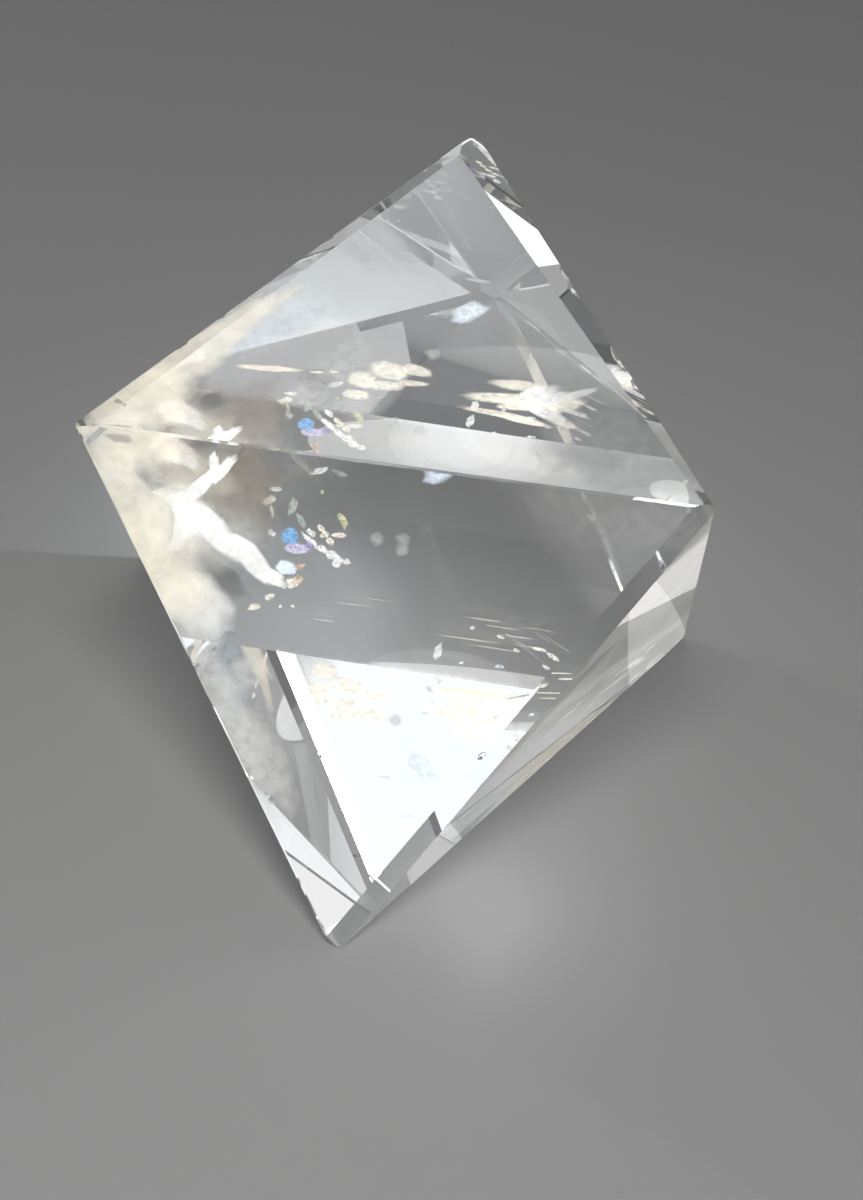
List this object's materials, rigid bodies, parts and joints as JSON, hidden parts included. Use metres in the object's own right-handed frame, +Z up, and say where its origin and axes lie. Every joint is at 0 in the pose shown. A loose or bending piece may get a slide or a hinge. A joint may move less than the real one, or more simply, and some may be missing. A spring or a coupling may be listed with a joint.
{
  "type": "clear quartz octahedron",
  "caption": "Clear polished quartz octahedron with lapped arrises and small edge chips, resting flat on one face.",
  "frame": {"origin": "centre of the resting face, on the surface that the stone stands on", "axes": "+Z up out of the resting face, -Y towards the low front corner, +X along the edge between the front and top faces, towards its right end"},
  "size_m": [0.0306, 0.0345, 0.0251],
  "materials": {
    "clear_quartz": "polished",
    "veils": "milky healed fractures inside the stone"
  },
  "bodies": {
    "root": {"quartz_octahedron": "clear_quartz"}
  },
  "joints": []
}
